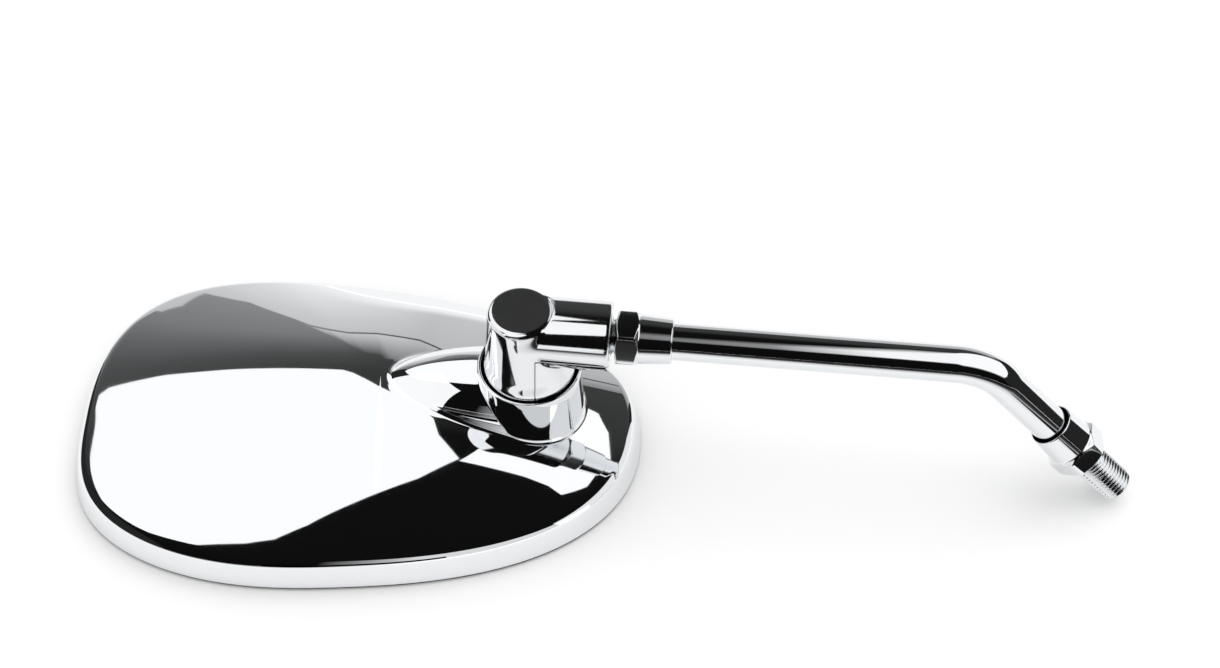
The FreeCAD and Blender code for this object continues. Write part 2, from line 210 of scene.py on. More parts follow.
def grid_faces(rows, columns, closed_rows):
    """Quads between neighbouring rows of points, closed round the columns and, if asked, from the last row
    to the first."""
    i = np.arange(rows if closed_rows else rows - 1)[:, None]
    j = np.arange(columns)[None, :]
    below = (i + 1) % rows
    right = (j + 1) % columns
    quads = [i * columns + j, i * columns + right, below * columns + right, below * columns + j]
    return np.stack(np.broadcast_arrays(*quads), axis=-1).reshape(-1, 4)


def outward(points, faces):
    """Turns the faces round if the volume they enclose is negative."""
    a, b, c, d = (points[faces[:, k]] for k in range(4))
    volume = np.einsum("ij,ij->i", a, np.cross(b, c) + np.cross(c, d)).sum()
    return faces if volume > 0 else faces[:, ::-1]


def skin(name, rows, body, replaced, material, poles=False):
    """Surface through a list of rings, each an array of points round the piece. With poles, the first and
    last rings are single points and the ends close there, otherwise the last ring joins the first."""
    stack = np.stack(rows)
    count, columns = stack.shape[:2]
    points = stack.reshape(-1, 3)
    faces = outward(points, grid_faces(count, columns, not poles))
    obj = piece(name, points, faces, body, replaced, material)
    if poles:
        weld(obj)
    return obj


def weld(obj):
    """Merges the points that a pole repeats."""
    mesh = bmesh.new()
    mesh.from_mesh(obj.data)
    bmesh.ops.remove_doubles(mesh, verts=mesh.verts, dist=1e-7)
    mesh.to_mesh(obj.data)
    mesh.free()


def even_normals(obj):
    """Lets the large faces set the shading, so that a flat stays flat beside a small round edge."""
    modifier = obj.modifiers.new("even normals", "WEIGHTED_NORMAL")
    modifier.mode = "FACE_AREA"
    modifier.weight = 80
    modifier.keep_sharp = True


def blend_rows(start, corner, end, steps):
    """Rounded corner: a quadratic curve that leaves start towards corner and arrives at end from it."""
    s = np.linspace(0, 1, steps)[:, None, None]
    return list((1 - s) ** 2 * start + 2 * s * (1 - s) * corner + s * s * end)


def straight_rows(start, end, steps):
    """Rings spaced evenly between two rings, without the two themselves."""
    s = np.linspace(0, 1, steps + 2)[1:-1, None, None]
    return list(start + s * (end - start))


# ======== head ========

def outline(t, inset):
    """Superellipse whose power changes round the corners, narrowed and skewed towards the stem end."""
    c = np.cos(t)
    s = np.sin(t)
    power = CORNER[0] + CORNER[1] * c + CORNER[2] * s + CORNER[3] * c * s
    u = np.copysign(np.abs(c) ** (2 / power), c)
    v = np.copysign(np.abs(s) ** (2 / power), s)
    half_length = HEAD_LENGTH / 2 - inset
    half_width = HEAD_WIDTH / 2 - inset
    y = half_width * (1 - TAPER * u + BULGE * u * u) * v + SKEW * 2 * half_width * u * (1 - u * u)
    return np.stack([half_length * u, y], axis=-1)


def outline_steps(count):
    """Values of t that space points evenly along the outline."""
    t = np.linspace(0, 2 * math.pi, 7201)
    edge = outline(t, 0)
    step = np.hypot(*np.diff(edge, axis=0).T)
    walk = np.concatenate([[0], np.cumsum(step)])
    return np.interp(np.arange(count) / count * walk[-1], walk, t)


# Edge of the crown as its reach over the angle, which crown_z looks up.
EDGE_T = np.linspace(0, 2 * math.pi, 3601)
EDGE_POINTS = outline(EDGE_T, SIDE_DRAFT)
EDGE_ANGLE = np.unwrap(np.arctan2(EDGE_POINTS[:, 1], EDGE_POINTS[:, 0]))
EDGE_REACH = np.hypot(EDGE_POINTS[:, 0], EDGE_POINTS[:, 1])


def crown_z(xy):
    """Height of the crowned back over head coordinates: a parabola of the ring that the point lies on.
    Rings change from ovals at the middle to the outline at the edge, and the ring is found by halving."""
    reach = np.hypot(xy[..., 0], xy[..., 1])
    angle = np.arctan2(xy[..., 1], xy[..., 0])
    turn = EDGE_ANGLE[0] + np.mod(angle - EDGE_ANGLE[0], 2 * math.pi)
    edge = np.interp(turn, EDGE_ANGLE, EDGE_REACH)
    half_length = HEAD_LENGTH / 2 - SIDE_DRAFT
    half_width = HEAD_WIDTH / 2 - SIDE_DRAFT
    oval = 1 / np.hypot(np.cos(angle) / half_length, np.sin(angle) / half_width)
    low = np.zeros_like(reach)
    high = np.full_like(reach, 2.0)
    for _ in range(44):
        mid = (low + high) / 2
        blend = np.minimum(mid * mid, 1)
        inside = mid * ((1 - blend) * oval + blend * edge) < reach
        low = np.where(inside, mid, low)
        high = np.where(inside, high, mid)
    return RIM_Z + SIDE_HEIGHT + CROWN * (1 - low * low)


def lift(xy, drop=0.0):
    """Points on the crowned back, or drop below it."""
    return np.concatenate([xy, (crown_z(xy) - drop)[..., None]], axis=-1)


def at_height(xy, z):
    """Points at one height, or at a height each."""
    z = np.broadcast_to(z, xy.shape[:-1])
    return np.concatenate([xy, z[..., None]], axis=-1)


def cup_columns(count):
    """Unit directions round the ball, spaced like the fairing's egg shape on its side and a circle on the
    other, and how far the egg reaches along each."""
    angle = np.arange(count) / count * 2 * math.pi
    along = np.where(np.cos(angle) < 0, FAIRING_LONG, FAIRING_HALF)
    local = np.stack([along * np.cos(angle), FAIRING_HALF * np.sin(angle)], axis=-1)
    reach = np.hypot(local[:, 0], local[:, 1])
    local /= reach[:, None]
    c, s = math.cos(FAIRING_TURN), math.sin(FAIRING_TURN)
    turned = np.stack([c * local[:, 0] - s * local[:, 1], s * local[:, 0] + c * local[:, 1]], axis=-1)
    return turned, reach


def cup_surface(ring, egg_reach, lean):
    """Point of the cup and fairing at one lean from the top: the wider of the cup's cone and the egg."""
    z = FAIRING_Z + FAIRING_HIGH * np.cos(lean)
    cone = CUP_BASE + (CUP_TOP - CUP_BASE) * z / LIP_Z
    egg = egg_reach * np.sin(np.minimum(lean, math.pi / 2))
    radius = np.maximum(cone, egg)
    return at_height(BALL_IN_HEAD + ring * radius[..., None], z), cone, egg


def lean_where(test, low, high):
    """Lean at which test stops being true, found by halving between low and high."""
    for _ in range(40):
        mid = (low + high) / 2
        before = test(mid)
        low = np.where(before, mid, low)
        high = np.where(before, high, mid)
    return low


def on_head(rows):
    """Rings moved from head coordinates to the head's place in the frame."""
    return [row + np.array([HEAD[0], HEAD[1], 0]) for row in rows]


def square_to(edge):
    """Directions that point out of a closed ring, square to it in plan."""
    tangent = np.roll(edge, -1, axis=0) - np.roll(edge, 1, axis=0)
    normal = np.stack([tangent[:, 1], -tangent[:, 0]], axis=-1)
    return normal / np.linalg.norm(normal, axis=1)[:, None]


def circle_rows(ring, sections):
    """Rings round the ball's axis, one for each (radius, height)."""
    return [at_height(BALL_IN_HEAD + ring * r, z) for r, z in sections]


def arc_section(radius, from_deg, to_deg, steps):
    """(radius, height) pairs on a ball of that radius, measured from straight down."""
    angles = np.radians(np.linspace(from_deg, to_deg, steps))
    return [(radius * math.sin(a), BALL[2] - radius * math.cos(a)) for a in angles]


def cup_inside(ring):
    """Rings from the underside of the crown up round the dished seat and out to the lip."""
    under = CUP_FLOOR_Z - CUP_FLOOR
    dish_out = DISH + DISH_WALL
    out_deg = math.degrees(math.acos((BALL[2] - under) / dish_out))
    in_deg = math.degrees(math.acos((BALL[2] - CUP_FLOOR_Z) / DISH))
    well = BALL_IN_HEAD + ring * WELL
    rows = [lift(well, WALL)]
    rows += circle_rows(ring, [(WELL, under)])
    rows += circle_rows(ring, arc_section(dish_out, out_deg, DISH_HOLE_DEG, 6))
    rows += circle_rows(ring, arc_section(DISH, DISH_HOLE_DEG, in_deg, 6))
    floor_edge = [(CUP_BORE - CUP_FLOOR_ROUND, CUP_FLOOR_Z), (CUP_BORE, CUP_FLOOR_Z + CUP_FLOOR_ROUND)]
    rows += circle_rows(ring, floor_edge)
    rows += circle_rows(ring, [(CUP_BORE, LIP_Z - 3), (CUP_BORE, LIP_Z - 2 * LIP_ROUND)])
    return rows


def lip_rows(ring):
    """The lip's two rounded edges and the narrow flat between them."""
    low = LIP_Z - LIP_ROUND
    inner = circle_rows(ring, [(CUP_BORE, low), (CUP_BORE, LIP_Z), (CUP_BORE + LIP_ROUND, LIP_Z)])
    outer = circle_rows(ring, [(CUP_TOP - LIP_ROUND, LIP_Z), (CUP_TOP, LIP_Z), (CUP_TOP, low)])
    return blend_rows(*inner, 5) + blend_rows(*outer, 6)


def fairing_rows(ring, egg_reach):
    """Rings down the cup, over the crease, along the fairing and out through the flare to the crown."""
    def surface(lean):
        return cup_surface(ring, egg_reach, lean)[0]

    def above_crown(lean):
        point = surface(lean)
        return point[:, 2] > crown_z(point[:, :2])

    def on_cup(lean):
        _, cone, egg = cup_surface(ring, egg_reach, lean)
        return egg < cone

    zero = np.zeros(len(ring))
    base = lean_where(above_crown, zero, np.full(len(ring), math.radians(110)))
    foot = surface(base)
    margin = (FLARE + 2 * CREASE) / FAIRING_HIGH
    crease = np.minimum(lean_where(on_cup, zero, base), base - 2 * margin)
    corner = surface(crease)
    top = corner + np.array([0, 0, CREASE])
    past = crease + CREASE / np.maximum(egg_reach * np.cos(crease), FAIRING_HIGH * np.sin(crease))
    square = np.clip(np.abs((square_to(foot) * ring).sum(axis=1)), 0.3, 1)
    slope = (surface(base - 0.01) - foot) / 0.01
    flare_start = base - FLARE / square / np.linalg.norm(slope, axis=1)
    flare_end = lift(foot[:, :2] + ring * (FLARE / square)[:, None])
    rows = straight_rows(circle_rows(ring, [(CUP_TOP, LIP_Z - LIP_ROUND)])[0], top, 5)
    rows += blend_rows(top, corner, surface(past), 8)
    steps = np.linspace(0, 1, 28)[1:-1, None]
    rows += [surface(lean) for lean in past + steps * (flare_start - past)]
    rows += blend_rows(surface(flare_start), foot, flare_end, 8)
    return rows, flare_end


def shoulder_rows(t):
    """Rounded shoulder between the crown and the leaning side wall, then the wall and the rounded rim."""
    edge_z = RIM_Z + SIDE_HEIGHT
    edge = at_height(outline(t, SIDE_DRAFT), edge_z)
    normal = square_to(edge)
    nearby = lift(edge[:, :2] - normal * 0.5)
    fall = np.arctan2(nearby[:, 2] - edge_z, 0.5)
    wall_angle = math.atan2(SIDE_HEIGHT, SIDE_DRAFT)
    setback = SHOULDER * np.tan((wall_angle - fall) / 2)
    start = lift(edge[:, :2] - normal * (setback * np.cos(fall))[:, None])
    before = lift(edge[:, :2] - normal * (setback * np.cos(fall) + 0.05)[:, None])
    end_z = edge_z - setback * math.sin(wall_angle)
    one_in = outline(t, 1) - outline(t, 0)
    end = at_height(outline(t, 0) + one_in * (SIDE_LEAN * (end_z - RIM_Z))[:, None], end_z)
    down = (edge - end) / np.linalg.norm(edge - end, axis=1)[:, None]
    leave = (start - before) / np.linalg.norm(start - before, axis=1)[:, None]
    handle = (4 / 3 * np.tan((wall_angle - fall) / 4) * SHOULDER)[:, None]
    s = np.linspace(0, 1, 14)[:, None, None]
    a, b, c, d = start, start + handle * leave, end + handle * down, end
    rows = list((1 - s) ** 3 * a + 3 * s * (1 - s) ** 2 * b + 3 * s * s * (1 - s) * c + s ** 3 * d)
    corners = ((RIM_Z + RIM_ROUND, 0), (RIM_Z, 0), (RIM_Z, RIM_ROUND))
    rim = [at_height(outline(t, SIDE_LEAN * (z - RIM_Z) + inset), z) for z, inset in corners]
    rows += straight_rows(end, rim[0], 5)
    rows += blend_rows(*rim, 6)
    return rows, start


def head_inside(t, ring):
    """Rings from the rim's inner edge up the inner wall and across under the crown to the well."""
    inner = at_height(outline(t, WALL + SIDE_LEAN * INNER_WALL_TOP), RIM_Z + INNER_WALL_TOP)
    rows = [at_height(outline(t, WALL), RIM_Z), inner]
    far = outline(t, WALL + SIDE_DRAFT + 1)
    near = BALL_IN_HEAD + ring * WELL
    rows += [lift(row, WALL) for row in [far] + straight_rows(far, near, 10)]
    return rows


def make_shell(material):
    """Closed loop of rings: in under the head, up through the cup, over its lip, down the fairing and out
    over the crown, the side and the rim."""
    ring, egg_reach = cup_columns(SHELL_COLUMNS)
    t = outline_steps(SHELL_COLUMNS)
    outer, flare_end = fairing_rows(ring, egg_reach)
    side, crown_edge = shoulder_rows(t)
    crown = [lift(row) for row in straight_rows(flare_end[:, :2], crown_edge[:, :2], CROWN_ROWS)]
    rows = head_inside(t, ring) + cup_inside(ring) + lip_rows(ring) + outer + crown + side
    skin("chrome_housing", on_head(rows), "head", ["housing_shell"], material)


def glass_height(xy):
    """Underside of the glass: a shallow bowl with its lowest point at the middle of the head."""
    return GLASS_LOW + GLASS_RADIUS - np.sqrt(GLASS_RADIUS ** 2 - (xy ** 2).sum(axis=-1))


def make_glass(material):
    """Convex pane: the bowl, a ground edge and the same bowl above."""
    t = outline_steps(GLASS_COLUMNS)
    edge = outline(t, GLASS_INSET)
    scales = np.concatenate([[0.0], np.linspace(0.04, 1, 26) ** 0.8])
    low = [at_height(edge * s, glass_height(edge * s)) for s in scales * (1 - 0.005)]
    shift = np.array([0, 0, GLASS_THICK])
    high = [row + shift for row in low[::-1]]
    rim = at_height(edge, glass_height(edge))
    rows = on_head(low + [rim + shift * 0.1, rim + shift * 0.9] + high)
    obj = skin("convex_mirror", rows, "head", ["mirror_glass"], material, poles=True)
    even_normals(obj)


def make_gasket(material):
    """Rubber channel carried round the outline: a lip under the rim and the glass, a back between them."""
    t = outline_steps(EDGE_COLUMNS)

    def ring(inset, z):
        return at_height(outline(t, inset), z)

    hold = GLASS_INSET + EDGE_HOLD
    low = glass_height(outline(t, GLASS_INSET))
    high = low + GLASS_THICK
    out = EDGE_INSET + EDGE_OUTER_ROUND
    under = low - EDGE_PRESS
    rows = blend_rows(ring(EDGE_INSET, EDGE_OUTER_ROUND), ring(EDGE_INSET, 0), ring(out, 0), 7)
    rows += blend_rows(ring(hold - EDGE_INNER_ROUND, 0), ring(hold, 0), ring(hold, 0.5 * low), 5)
    rows += [ring(hold, under), ring(GLASS_INSET, under), ring(GLASS_INSET, high), ring(hold, high)]
    rows += [ring(hold, EDGE_TOP), ring(WALL + SIDE_LEAN * (EDGE_TOP - RIM_Z), EDGE_TOP), ring(WALL, RIM_Z)]
    skin("rubber_edge", on_head(rows), "head", ["rim_gasket"], material)


# ======== elbow ========

def smooth_low(a, b, size):
    """Lesser of two distances, with a rounded change between them."""
    h = np.maximum(size - np.abs(a - b), 0) / size
    return np.minimum(a, b) - h * h * size / 4


def smooth_high(a, b, size):
    """Greater of two distances, rounded in the same way."""
    return -smooth_low(-a, -b, size)


def elbow_distance(p):
    """Signed distance to the casting, in elbow coordinates: x along the barrel, z up from the ball."""
    x, y, z = p[..., 0], p[..., 1], p[..., 2]
    reach = np.sqrt(x * x + y * y + z * z)
    skirt = smooth_high(reach - SKIRT, -SKIRT_LOW - z, SKIRT_ROUND)
    skirt = smooth_low(skirt, reach - SEAT, SEAT_FILLET)
    rise = np.clip((z - COLUMN_FOOT) / (COLUMN_TOP - COLUMN_FOOT), 0, 1)
    from_axis = np.hypot(x + COLUMN_BACK * rise, y)
    column_radius = COLUMN_FOOT_RADIUS + (COLUMN_TOP_RADIUS - COLUMN_FOOT_RADIUS) * rise
    column = smooth_high(from_axis - column_radius, z - COLUMN_TOP, EDGE_ROUND)
    column = np.maximum(column, -z)
    bevel = (from_axis - column_radius + z - COLUMN_TOP + TOP_BEVEL) / math.sqrt(2)
    column = smooth_high(column, bevel, EDGE_ROUND)
    from_barrel = np.hypot(y, z - BARREL_Z)
    barrel = from_barrel - BARREL
    end = x - BARREL_END
    barrel_edge = (barrel + end + BARREL_BEVEL) / math.sqrt(2)
    barrel = smooth_high(smooth_high(barrel, end, EDGE_ROUND), barrel_edge, EDGE_ROUND)
    barrel = np.maximum(barrel, -x - COLUMN_BACK)
    groove = np.maximum(from_axis - COLUMN_TOP_RADIUS - BARREL_GAP, COLUMN_TOP - TOP_BEVEL - z)
    barrel = smooth_high(barrel, -groove, GROOVE_ROUND)
    body = smooth_low(smooth_low(barrel, column, BARREL_FILLET), skirt, SKIRT_FILLET)
    bore = np.maximum(from_barrel - ELBOW_BORE, ROD_FROM - COLUMN_BACK - BORE_PAST_ROD - x)
    return smooth_high(body, -bore, GROOVE_ROUND)


def surface_net(distance, low, high, step):
    """Mesh of the zero surface of a distance: one point in every cell that the surface crosses, the mean of
    its edge crossings, then moved onto the surface along the slope. Returns points and quads."""
    axes = [np.arange(low[k], high[k] + step, step) for k in range(3)]
    grid = np.stack(np.meshgrid(*axes, indexing="ij"), axis=-1)
    value = distance(grid)
    inside = value < 0
    shape = np.array(value.shape) - 1
    total = np.zeros(tuple(shape) + (3,))
    hits = np.zeros(tuple(shape))
    crossings = []
    for axis in range(3):
        first = [slice(None)] * 3
        second = [slice(None)] * 3
        first[axis] = slice(0, -1)
        second[axis] = slice(1, None)
        a, b = value[tuple(first)], value[tuple(second)]
        cross = inside[tuple(first)] != inside[tuple(second)]
        part = np.where(cross, a / np.where(cross, a - b, 1), 0)
        place = grid[tuple(first)].copy()
        place[..., axis] += part * step
        place *= cross[..., None]
        others = [k for k in range(3) if k != axis]
        for da in (0, 1):
            for db in (0, 1):
                cut = [slice(None)] * 3
                cut[others[0]] = slice(da, shape[others[0]] + da)
                cut[others[1]] = slice(db, shape[others[1]] + db)
                total += place[tuple(cut)]
                hits += cross[tuple(cut)]
        crossings.append(cross)
    used = hits > 0
    number = np.full(tuple(shape), -1)
    number[used] = np.arange(used.sum())
    points = total[used] / hits[used][:, None]
    faces = []
    for axis, cross in enumerate(crossings):
        others = [k for k in range(3) if k != axis]
        i = np.argwhere(cross)
        keep = (i[:, others[0]] > 0) & (i[:, others[1]] > 0)
        keep &= (i[:, others[0]] < shape[others[0]]) & (i[:, others[1]] < shape[others[1]])
        i = i[keep]
        first, second = np.zeros(3, int), np.zeros(3, int)
        first[others[0]] = 1
        second[others[1]] = 1
        around = [i, i - first, i - first - second, i - second]
        quad = np.stack([number[tuple(c.T)] for c in around], axis=-1)
        flip = inside[tuple(i.T)] if axis != 1 else ~inside[tuple(i.T)]
        faces.append(np.where(flip[:, None], quad[:, ::-1], quad))
    for _ in range(4):
        slope = gradient(distance, points)
        size = (slope ** 2).sum(axis=1)
        points = points - slope * (distance(points) / np.maximum(size, 1e-6))[:, None]
    return points, np.concatenate(faces)


def gradient(distance, points, h=0.02):
    """Slope of the distance by differences."""
    steps = np.eye(3) * h
    return np.stack([(distance(points + s) - distance(points - s)) / (2 * h) for s in steps], axis=-1)


def make_elbow(material):
    """The casting, from its distance, turned to the barrel's direction and set on the ball."""
    points, faces = surface_net(elbow_distance, ELBOW_LOW, ELBOW_HIGH, ELBOW_GRID)
    turn = np.stack([STEM_AXIS, ACROSS, UP])
    points = points @ turn + BALL
    faces = outward(points, faces)
    piece("elbow_casting", points, faces, "elbow", ["elbow_body"], material)


# ======== rod and nuts ========

def thread_radius(along, turn):
    """Radius of a spiral thread: crest, straight flank, flat root and flank again over one pitch."""
    phase = np.mod(along / PITCH - turn / (2 * math.pi), 1)
    depth = np.interp(phase, [0, CREST_SHARE, 0.5, 0.5 + CREST_SHARE, 1.0], [0, 0, 1, 1, 0])
    return THREAD - THREAD_DEPTH * depth


def end_radius(along, turn, thread_to, relief_to):
    """Radius of the bar at a distance from its end: chamfer, thread, plain part under the nut, shank."""
    bar = np.where(along < thread_to, thread_radius(along, turn), RELIEF)
    bar = np.where(along > relief_to, np.minimum(SHANK, RELIEF + along - relief_to), bar)
    return np.minimum(bar, THREAD - TIP_CHAMFER + along)


def make_rod(material):
    """A circle of changing radius carried along a straight, an arc and a straight."""
    turn = math.acos(float(STEM_AXIS @ END_AXIS))
    tangent_length = BEND_RADIUS * math.tan(turn / 2)
    straight = BEND_REACH - tangent_length - ROD_FROM
    arc = BEND_RADIUS * turn
    last = END_REACH - tangent_length
    length = straight + arc + last
    upper_to = NUT_FROM_ELBOW - NUT_CLEAR - ROD_FROM
    upper_relief = UPPER_THREAD - ROD_FROM
    lower_to = NUT_FROM_TIP - NUT_CLEAR
    fine = PITCH / STEPS_PER_PITCH
    hair = 0.001
    margin = 3.0
    s = np.concatenate([
        np.arange(0, upper_to, fine),
        [upper_to, upper_to + hair, upper_relief, upper_relief + SHANK - RELIEF],
        np.arange(upper_relief + margin, length - END_THREAD - margin, ROD_STEP),
        [length - END_THREAD - SHANK + RELIEF, length - END_THREAD, length - lower_to - hair],
        length - np.arange(0, lower_to, fine)[::-1]])
    on_arc = np.linspace(straight, straight + arc, ARC_STEPS)
    s = np.unique(np.round(np.concatenate([s, on_arc]), 5))
    bend = np.clip((s - straight) / arc, 0, 1) * turn
    start = STEM_START + STEM_AXIS * ROD_FROM
    centre = start + np.minimum(s, straight)[:, None] * STEM_AXIS
    centre = centre + BEND_RADIUS * np.sin(bend)[:, None] * STEM_AXIS
    centre = centre + BEND_RADIUS * (1 - np.cos(bend))[:, None] * BEND_SIDE
    centre = centre + np.maximum(s - straight - arc, 0)[:, None] * END_AXIS
    inward = np.cos(bend)[:, None] * BEND_SIDE - np.sin(bend)[:, None] * STEM_AXIS
    angle = np.arange(ROD_COLUMNS) / ROD_COLUMNS * 2 * math.pi
    upper = end_radius(s[:, None], angle, upper_to, upper_relief)
    lower = end_radius(length - s[:, None], angle, lower_to, END_THREAD)
    radius = np.where(s[:, None] < length / 2, upper, lower)
    offset = np.cos(angle)[None, :, None] * inward[:, None, :] + np.sin(angle)[None, :, None] * BEND_ACROSS
    stack = centre[:, None, :] + radius[:, :, None] * offset
    first = np.broadcast_to(centre[0], stack[0].shape)
    final = np.broadcast_to(centre[-1], stack[0].shape)
    rows = [first] + list(stack) + [final]
    obj = skin("bent_rod", rows, "stem", ["stem_rod"], material, poles=True)
    even_normals(obj)


def nut_rows(angle):
    """Rings of (radius, height) round a lock nut: bore, flat face, turned corners, flats, sleeve."""
    corner = NUT_FLATS / math.sqrt(3)
    flats = NUT_FLATS / 2 / np.cos(np.mod(angle, math.pi / 3) - math.pi / 6)
    eased = np.exp(-flats * CORNER_SHARPNESS) + np.exp(-(corner - NUT_EASE) * CORNER_SHARPNESS)
    flats = -np.log(eased) / CORNER_SHARPNESS
    rise = NUT_CHAMFER / (corner - NUT_FACE) * (flats - NUT_FACE)
    top = NUT_HEIGHT + SLEEVE
    sections = [
        (NUT_BORE, NUT_HEIGHT), (NUT_BORE, NUT_MOUTH), (SLEEVE_BORE, 0), (SLEEVE_BORE + 0.05, 0),
        (NUT_FACE - 0.15, 0), (NUT_FACE + NUT_EASE, NUT_EASE / 2),
        (flats - NUT_EASE, rise - 0.07), (flats, rise + NUT_EASE),
        (flats, NUT_HEIGHT - rise - NUT_EASE), (flats - NUT_EASE, NUT_HEIGHT - rise + 0.07),
        (NUT_FACE + 0.2, NUT_HEIGHT - 0.04), (SLEEVE_ROOT, NUT_HEIGHT + NUT_EASE),
        (SLEEVE_ROOT - 0.03, NUT_HEIGHT + 0.5), (SLEEVE_END, top - SLEEVE_LIP),
        (SLEEVE_END - NUT_EASE / 2, top - NUT_EASE), (SLEEVE_END - 0.25, top),
        (SLEEVE_BORE + NUT_EASE, top), (SLEEVE_BORE, top - NUT_EASE),
        (SLEEVE_BORE, top - 0.5), (SLEEVE_BORE, NUT_HEIGHT)]
    return [np.broadcast_arrays(radius, height, angle)[:2] for radius, height in sections]


def make_nut(name, node, body, foot, axis, side, material):
    """Lock nut along axis from foot. side points at a corner of the hexagon."""
    angle = np.arange(NUT_COLUMNS) / NUT_COLUMNS * 2 * math.pi
    third = np.cross(axis, side)
    around = np.cos(angle)[:, None] * side + np.sin(angle)[:, None] * third
    rows = [foot + r[:, None] * around + z[:, None] * axis for r, z in nut_rows(angle)]
    obj = skin(name, rows, body, [node], material)
    even_normals(obj)


# ======== materials ========

def linear(code):
    """Linear colour with alpha from an sRGB hex value such as "c8cacc"."""
    values = [int(code[i:i + 2], 16) / 255 for i in (0, 2, 4)]
    turned = [v / 12.92 if v <= 0.04045 else ((v + 0.055) / 1.055) ** 2.4 for v in values]
    return (*turned, 1.0)


def add(tree, kind, inputs=None, **properties):
    """Adds a shader node and sets its properties. An input is a plain value, or a (node, output) pair to
    link."""
    made = tree.nodes.new("ShaderNode" + kind)
    for name, value in properties.items():
        setattr(made, name, value)
    for name, value in (inputs or {}).items():
        if isinstance(value, tuple) and isinstance(value[0], bpy.types.Node):
            tree.links.new(value[0].outputs[value[1]], made.inputs[name])
        else:
            made.inputs[name].default_value = value
    return made


def empty_material(name):
    """Material without nodes, and its node tree."""
    made = bpy.data.materials.new(name)
    made.use_nodes = True
    made.node_tree.nodes.clear()
    return made, made.node_tree


def seam_height(tree, place):
    """Parting line of the casting: 1 on the line, falling to 0 at SEAM_HALF from it. It runs along the
    barrel a little under its middle and turns down over the column. Taken in elbow axes: x along the barrel,
    z up from the ball."""
    turn = math.atan2(STEM_AXIS[1], STEM_AXIS[0])
    move = add(tree, "Mapping", {
        "Vector": (place, "Object"), "Location": BALL * MM, "Rotation": (0, 0, turn)}, vector_type="TEXTURE")
    split = add(tree, "SeparateXYZ", {"Vector": (move, "Vector")})
    level = BARREL_Z - SEAM_DROP
    lines = []
    for across, at, along, limit, side in (
            ("Z", level, "X", SEAM_X, "GREATER_THAN"), ("X", SEAM_X, "Z", level, "LESS_THAN")):
        off = add(tree, "Math", {0: (split, across), 1: at * MM}, operation="SUBTRACT")
        off = add(tree, "Math", {0: (off, "Value")}, operation="ABSOLUTE")
        off = add(tree, "Math", {0: (off, "Value"), 1: SEAM_HALF * MM}, operation="DIVIDE")
        near = add(tree, "Math", {0: 1.0, 1: (off, "Value")}, operation="SUBTRACT")
        near = add(tree, "Math", {0: (near, "Value"), 1: 0.0}, operation="MAXIMUM")
        shown = add(tree, "Math", {0: (split, along), 1: limit * MM}, operation=side)
        line = add(tree, "Math", {0: (near, "Value"), 1: (shown, "Value")}, operation="MULTIPLY")
        lines.append((line, "Value"))
    return add(tree, "Math", {0: lines[0], 1: lines[1]}, operation="MAXIMUM"), "Value"


def chrome_plate(name, colour, roughness, wave_mm, wave_lift, cast=False):
    """Bright plate over polished metal: a long low wave from the polishing bends the reflections a little,
    and fine wipe marks change how sharp they are. A casting also keeps its parting line, raised a little and
    darkened with painted shade."""
    made, tree = empty_material(name)
    place = add(tree, "TexCoord")
    wave = add(tree, "TexNoise", {
        "Vector": (place, "Object"), "Scale": 1 / (wave_mm * MM), "Detail": 2.0})
    bump = add(tree, "Bump", {
        "Height": (wave, "Fac"), "Strength": 1.0, "Distance": wave_lift * MM})
    wipe = add(tree, "TexNoise", {
        "Vector": (place, "Object"), "Scale": 1 / (WIPE_MM * MM), "Detail": 4.0})
    spread = add(tree, "MapRange", {
        "Value": (wipe, "Fac"), "To Min": roughness * 0.6, "To Max": roughness * 1.4})
    base = linear(colour)
    if cast:
        seam = seam_height(tree, place)
        bump = add(tree, "Bump", {
            "Height": seam, "Normal": (bump, "Normal"), "Strength": 0.7, "Distance": SEAM_LIFT * MM})
        # Painted shade: the metal colour darkens to a grey on the parting line.
        painted_seam_shade = add(tree, "ValToRGB", {"Fac": seam})
        painted_seam_shade.color_ramp.elements[0].color = linear(colour)
        painted_seam_shade.color_ramp.elements[1].color = linear(SEAM_PAINTED_SHADE)
        base = (painted_seam_shade, "Color")
    plate = add(tree, "BsdfPrincipled", {
        "Base Color": base, "Metallic": 1.0, "Roughness": (spread, "Result"), "Normal": (bump, "Normal")})
    add(tree, "OutputMaterial", {"Surface": (plate, "BSDF")})
    return made


def plain_finish(name, colour, other, roughness, metallic, grain_mm, lift_mm, spread):
    """Finish with a cloudy grain, which raises the surface a little, varies how it scatters and goes from
    one colour to the other. The grain is drawn coarser than the real one, so that it shows."""
    made, tree = empty_material(name)
    place = add(tree, "TexCoord")
    grain = add(tree, "TexNoise", {
        "Vector": (place, "Object"), "Scale": 1 / (grain_mm * MM), "Detail": 3.0})
    bump = add(tree, "Bump", {
        "Height": (grain, "Fac"), "Strength": 1.0, "Distance": lift_mm * MM})
    scatter = add(tree, "MapRange", {
        "Value": (grain, "Fac"), "To Min": roughness - spread, "To Max": roughness + spread})
    ramp = add(tree, "ValToRGB", {"Fac": (grain, "Fac")})
    for stop, position, code in zip(ramp.color_ramp.elements, (0.3, 0.7), (colour, other)):
        stop.position = position
        stop.color = linear(code)
    finish = add(tree, "BsdfPrincipled", {
        "Base Color": (ramp, "Color"), "Metallic": metallic, "Roughness": (scatter, "Result"),
        "Normal": (bump, "Normal")})
    add(tree, "OutputMaterial", {"Surface": (finish, "BSDF")})
    return made


